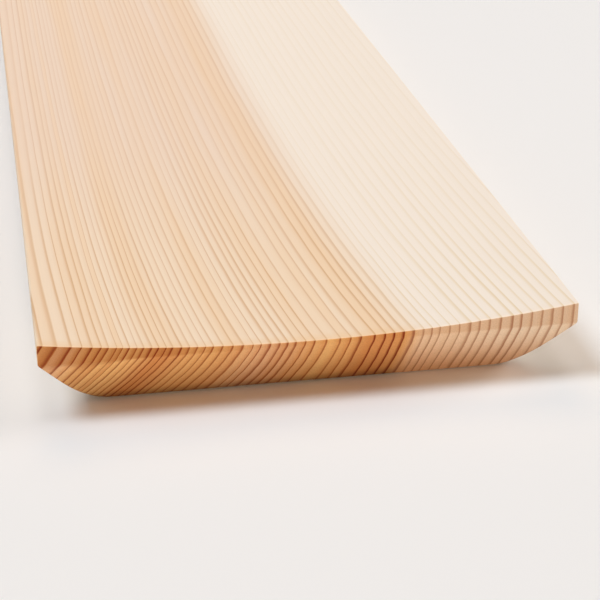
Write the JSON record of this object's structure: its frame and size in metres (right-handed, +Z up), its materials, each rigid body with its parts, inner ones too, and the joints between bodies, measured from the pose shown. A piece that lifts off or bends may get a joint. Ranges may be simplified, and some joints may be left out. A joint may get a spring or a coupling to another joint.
{
  "type": "wooden plate",
  "caption": "Long rectangular serving plate cut from a solid board, with a shallow hollow along its top and undercut bevels on every edge.",
  "frame": {"origin": "middle of the flat base, where the plate stands on the table", "axes": "+Z up, +Y along the plate's length and the wood's grain, +X across its width"},
  "size_m": [0.12, 0.36, 0.0193],
  "materials": {
    "cedar": "planed straight-grained softwood, unvarnished, soft satin"
  },
  "bodies": {
    "root": {"plate_board": "cedar"}
  },
  "joints": []
}
